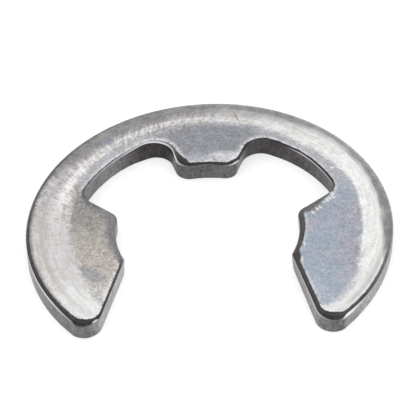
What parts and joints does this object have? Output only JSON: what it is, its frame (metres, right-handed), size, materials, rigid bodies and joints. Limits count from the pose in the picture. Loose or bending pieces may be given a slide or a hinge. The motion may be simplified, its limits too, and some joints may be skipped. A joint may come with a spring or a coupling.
{
  "type": "e-clip retaining ring",
  "caption": "Flat stamped spring-steel e-clip that snaps sideways into a shaft groove and holds a part from sliding off.",
  "frame": {"origin": "on the axis of the circle that the three seats share, in the plane of the bottom face", "axes": "+Z out of the crowned top face, along the shaft; the mouth opens toward -Y and the middle prong is on +Y"},
  "size_m": [0.0232, 0.0202, 0.0013],
  "materials": {
    "e_clip": "bare tumbled spring steel, satin with fine scratches"
  },
  "bodies": {
    "root": {"e_clip": "e_clip"}
  },
  "joints": []
}
